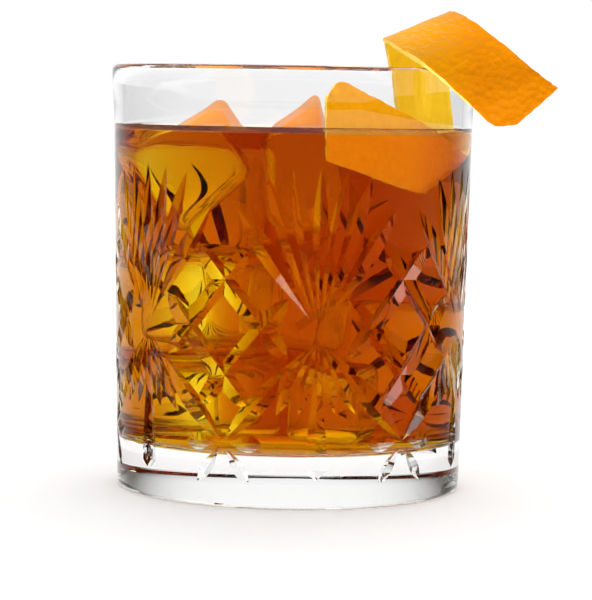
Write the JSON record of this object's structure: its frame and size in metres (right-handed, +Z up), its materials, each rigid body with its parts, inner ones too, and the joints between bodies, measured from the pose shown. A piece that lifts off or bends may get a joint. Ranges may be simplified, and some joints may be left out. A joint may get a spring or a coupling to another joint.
{
  "type": "old fashioned cocktail",
  "caption": "Amber cocktail on ice in a heavy cut-glass tumbler, with a twist of orange peel hooked over the rim.",
  "frame": {"origin": "middle of the tumbler's flat foot, on the surface that it stands on", "axes": "+Z up out of the tumbler's mouth, -Y towards the front, +X to the side where the twist hangs over the rim"},
  "size_m": [0.0993, 0.083, 0.1085],
  "materials": {
    "cut_glass": "clear polished glass with wheel-cut facets",
    "amber_drink": "clear amber to red-orange liquid",
    "ice": "clear wet ice, tinted by the drink",
    "orange_peel": "waxy dimpled orange zest with a pale yellow inner side"
  },
  "bodies": {
    "root": {"tumbler": "cut_glass", "drink": "amber_drink", "ice_left": "ice", "ice_right": "ice", "orange_twist": "orange_peel"}
  },
  "joints": []
}
